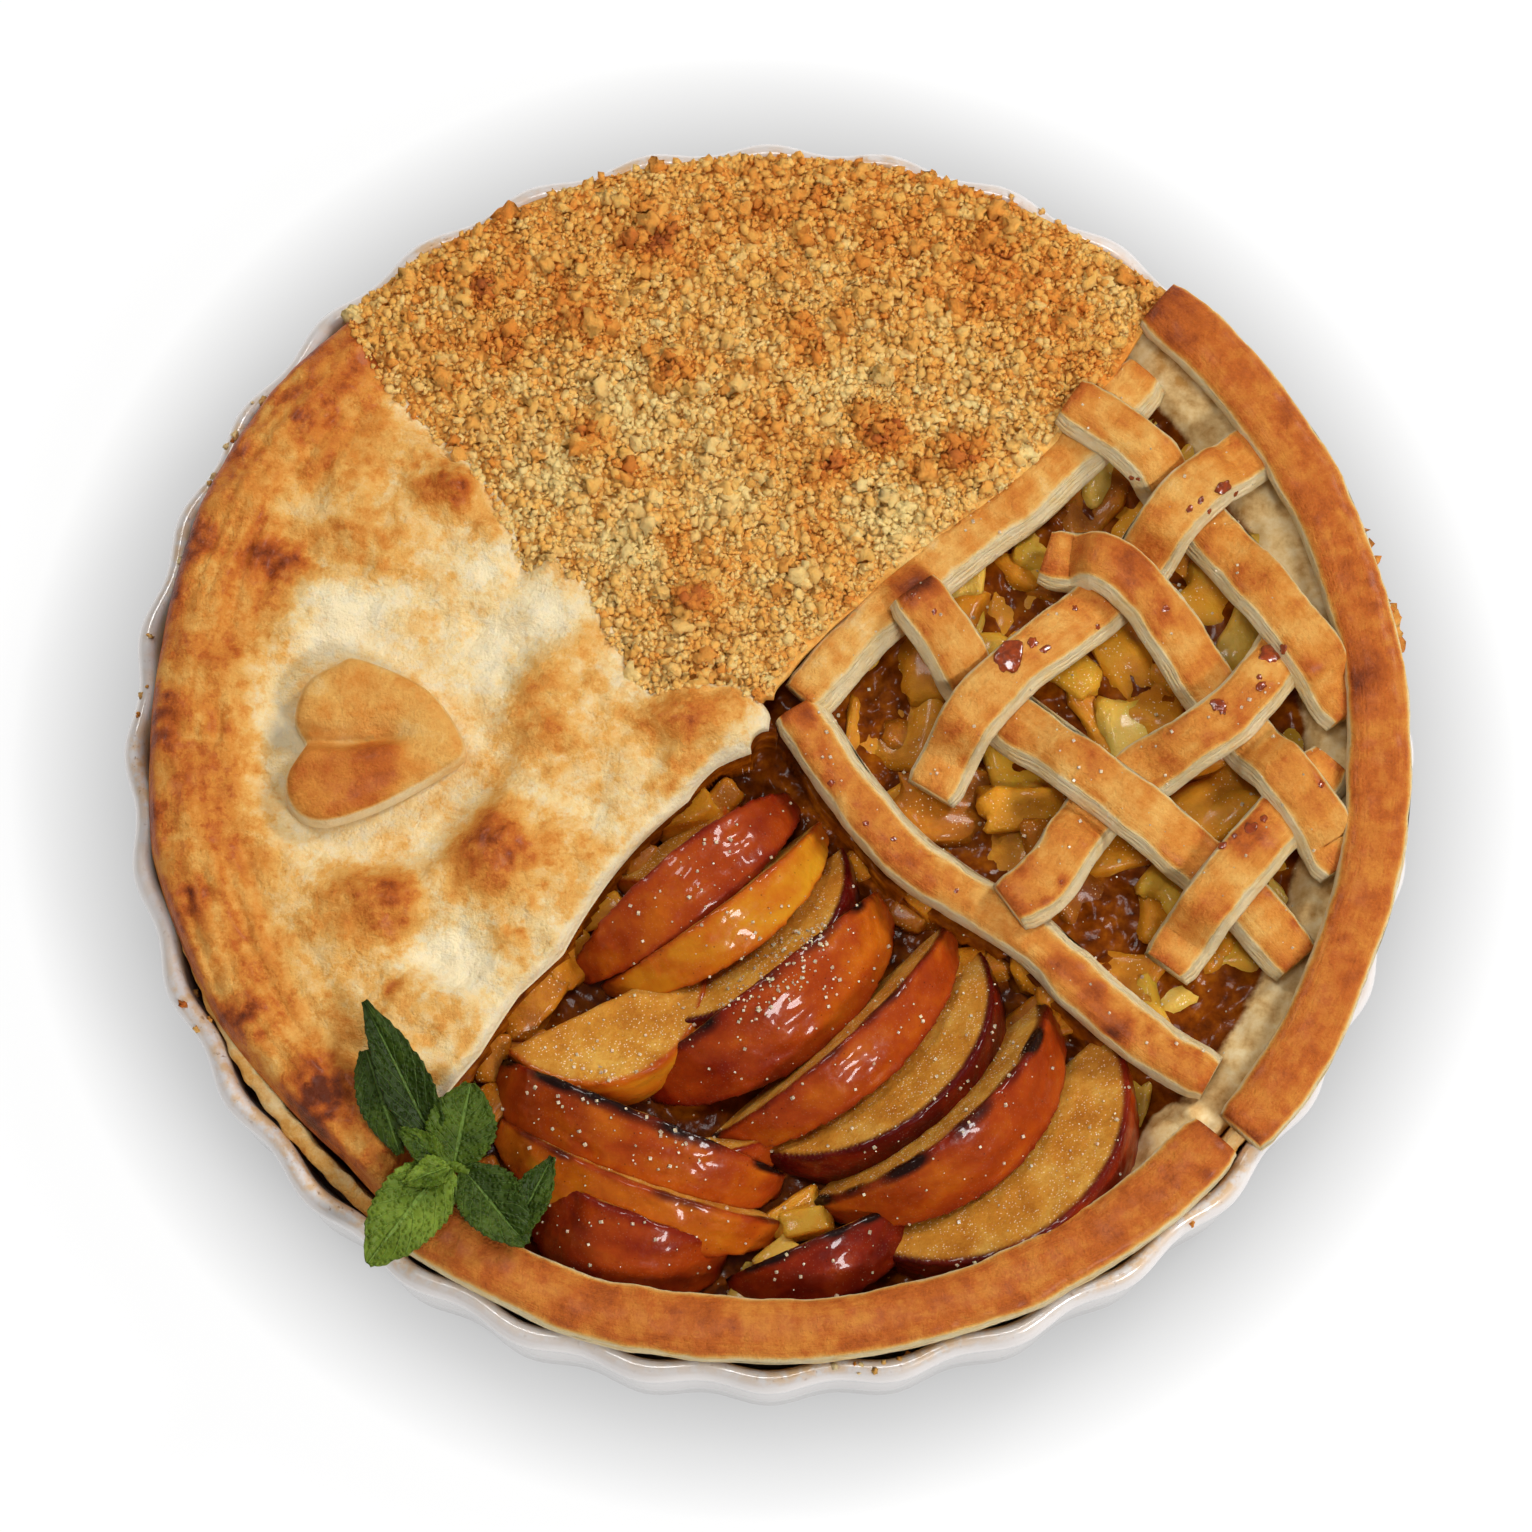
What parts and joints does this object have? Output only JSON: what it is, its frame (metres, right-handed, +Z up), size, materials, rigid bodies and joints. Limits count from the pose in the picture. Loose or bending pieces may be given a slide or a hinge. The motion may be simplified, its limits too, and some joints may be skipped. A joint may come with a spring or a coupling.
{
  "type": "apple pie in a fluted dish",
  "caption": "Round apple pie in a fluted white dish, its top baked as plain lid with a pastry heart, crumble, woven lattice and open apple slices, with a mint sprig.",
  "frame": {"origin": "middle of the dish's foot, on the surface that it stands on", "axes": "+Z up; -Y towards the viewer, with the open apple slices in front and the crumble at the back; +X to the right, with the lattice on the right and the plain lid on the left"},
  "size_m": [0.282, 0.282, 0.0596],
  "materials": {
    "porcelain": "glossy white glazed porcelain, with butter stains and crumbs on the lip",
    "case_pastry": "pale golden shortcrust",
    "lid_pastry": "egg-washed pastry, pale in the middle and browned at the rim",
    "strip_pastry": "golden-brown pastry strips with pale sides and drops of caramel glaze",
    "crumble": "rough buttery crumbs, pale yellow to orange-brown",
    "fruit_filling": "amber apple chunks in glossy dark syrup",
    "apple_slice": "baked red-orange apple skin and yellow flesh, glazed and sugared",
    "mint_leaf": "fresh green mint with a slight sheen"
  },
  "bodies": {
    "root": {"dish": "porcelain", "pastry_case": "case_pastry", "fruit_filling": "fruit_filling", "pie_lid": "lid_pastry", "pastry_heart": "lid_pastry", "crumble_topping": "crumble", "border_by_crumble": "strip_pastry", "border_by_slices": "strip_pastry", "right_rim_band": "strip_pastry", "front_rim_band": "strip_pastry", "lattice_down_1": "strip_pastry", "lattice_down_2": "strip_pastry", "lattice_down_3": "strip_pastry", "lattice_up_1": "strip_pastry", "lattice_up_2": "strip_pastry", "lattice_up_3": "strip_pastry", "mint_sprig": "mint_leaf", "slice_1": "apple_slice", "slice_2": "apple_slice", "slice_3": "apple_slice", "slice_4": "apple_slice", "slice_5": "apple_slice", "slice_6": "apple_slice", "slice_7": "apple_slice", "slice_8": "apple_slice", "slice_9": "apple_slice", "slice_left_1": "apple_slice", "slice_left_2": "apple_slice", "slice_left_3": "apple_slice"}
  },
  "joints": []
}
